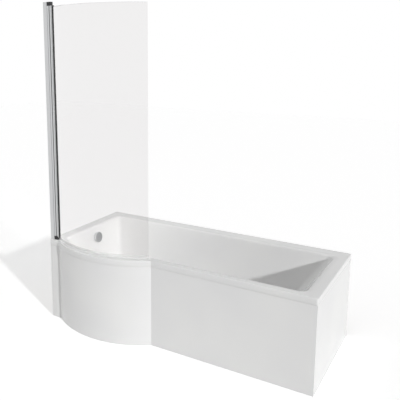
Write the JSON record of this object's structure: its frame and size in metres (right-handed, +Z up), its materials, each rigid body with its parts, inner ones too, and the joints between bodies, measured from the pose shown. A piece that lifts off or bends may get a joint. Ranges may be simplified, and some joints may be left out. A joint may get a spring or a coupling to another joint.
{
  "type": "p shaped shower bath",
  "caption": "White P-shaped shower bath with a bowed front panel, end panel, pop-up waste worked by an overflow knob, and a curved glass screen that swings beside the wall.",
  "frame": {"origin": "on the floor, in the middle of the whole outline with the bow", "axes": "+X along the bath to the narrow end, +Y to the wall behind, +Z up"},
  "size_m": [1.675, 0.815, 1.952],
  "materials": {
    "tub_acrylic": "gloss white moulded acrylic",
    "panel_acrylic": "gloss white acrylic sheet",
    "softwood": "sawn softwood",
    "plywood": "sawn plywood",
    "chipboard": "plain chipboard",
    "zinc_steel": "zinc plated sheet steel",
    "fastener_steel": "zinc plated steel",
    "pad_plastic": "black moulded plastic",
    "chrome": "polished chrome",
    "seal_rubber": "soft black rubber",
    "waste_plastic": "white polypropylene",
    "stem_brass": "turned brass",
    "frame_aluminium": "satin silver anodised",
    "bracket_black": "black satin paint",
    "stainless": "stainless steel",
    "bush_plastic": "natural nylon",
    "gasket_rubber": "black glazing rubber",
    "screen_glass": "clear toughened glass",
    "drip_seal": "grey flexible plastic"
  },
  "bodies": {
    "bath": {"bath_shell": "tub_acrylic", "rim_battens": "softwood", "bow_batten": "plywood", "base_board": "chipboard", "cradle_left": "zinc_steel", "cradle_right": "zinc_steel", "cradle_screws": "fastener_steel", "insert_nuts": "fastener_steel", "lock_nuts": "fastener_steel", "front_panel": "panel_acrylic", "end_panel": "panel_acrylic", "panel_clips": "zinc_steel", "plinth_battens": "softwood", "wall_brackets": "zinc_steel", "waste_flange": "chrome", "waste_top_seal": "seal_rubber", "waste_under_seal": "seal_rubber", "waste_body": "waste_plastic", "lever_pin": "fastener_steel", "overflow_body": "waste_plastic", "overflow_seal": "seal_rubber", "overflow_ring": "chrome", "overflow_pipe": "waste_plastic", "wall_channel": "frame_aluminium", "pivot_post": "frame_aluminium", "post_screws": "stainless", "pivot_bracket_top": "bracket_black", "pivot_bracket_bottom": "bracket_black", "pivot_pin_top": "stainless", "pivot_pin_bottom": "stainless"},
    "screen": {"hinge_profile": "frame_aluminium", "pivot_bush_top": "bush_plastic", "pivot_bush_bottom": "bush_plastic", "glazing_gasket": "gasket_rubber", "glass_panel": "screen_glass", "bottom_seal": "drip_seal"},
    "knob": {"overflow_knob": "chrome"},
    "plug": {"waste_plug": "chrome", "plug_seal": "seal_rubber", "plug_stem": "stem_brass"},
    "lever": {"lift_lever": "waste_plastic"},
    "foot_left_front": {"stud_left_front": "fastener_steel", "pad_left_front": "pad_plastic"},
    "foot_left_back": {"stud_left_back": "fastener_steel", "pad_left_back": "pad_plastic"},
    "foot_right_front": {"stud_right_front": "fastener_steel", "pad_right_front": "pad_plastic"},
    "foot_right_back": {"stud_right_back": "fastener_steel", "pad_right_back": "pad_plastic"}
  },
  "joints": [
    {"name": "screen_swing", "type": "hinge", "parent": "bath", "child": "screen", "pos_m": [-0.7875, -0.2825, 1.2], "axis": [0, 0, 1], "range_deg": [-75, 90]},
    {"name": "knob_turn", "type": "hinge", "parent": "bath", "child": "knob", "pos_m": [-0.74868, 0.0575, 0.435], "axis": [0.9903, 0, 0.1392], "range_deg": [0, 90]},
    {"name": "plug_lift", "type": "slide", "parent": "bath", "child": "plug", "axis": [0, 0, 1], "range_m": [0, 0.012]},
    {"name": "lever_lift", "type": "hinge", "parent": "bath", "child": "lever", "pos_m": [-0.5135, 0.0575, 0.081], "axis": [0, 1, 0], "range_deg": [0, 20.4]},
    {"name": "level_left_front", "type": "slide", "parent": "bath", "child": "foot_left_front", "axis": [0, 0, -1], "range_m": [0, 0.012]},
    {"name": "level_left_back", "type": "slide", "parent": "bath", "child": "foot_left_back", "axis": [0, 0, -1], "range_m": [0, 0.012]},
    {"name": "level_right_front", "type": "slide", "parent": "bath", "child": "foot_right_front", "axis": [0, 0, -1], "range_m": [0, 0.012]},
    {"name": "level_right_back", "type": "slide", "parent": "bath", "child": "foot_right_back", "axis": [0, 0, -1], "range_m": [0, 0.012]}
  ],
  "couplings": [
    {"joint": "plug_lift", "follows": "knob_turn", "m_per_rad": 0.00763},
    {"joint": "lever_lift", "follows": "knob_turn", "ratio": 0.2258}
  ]
}
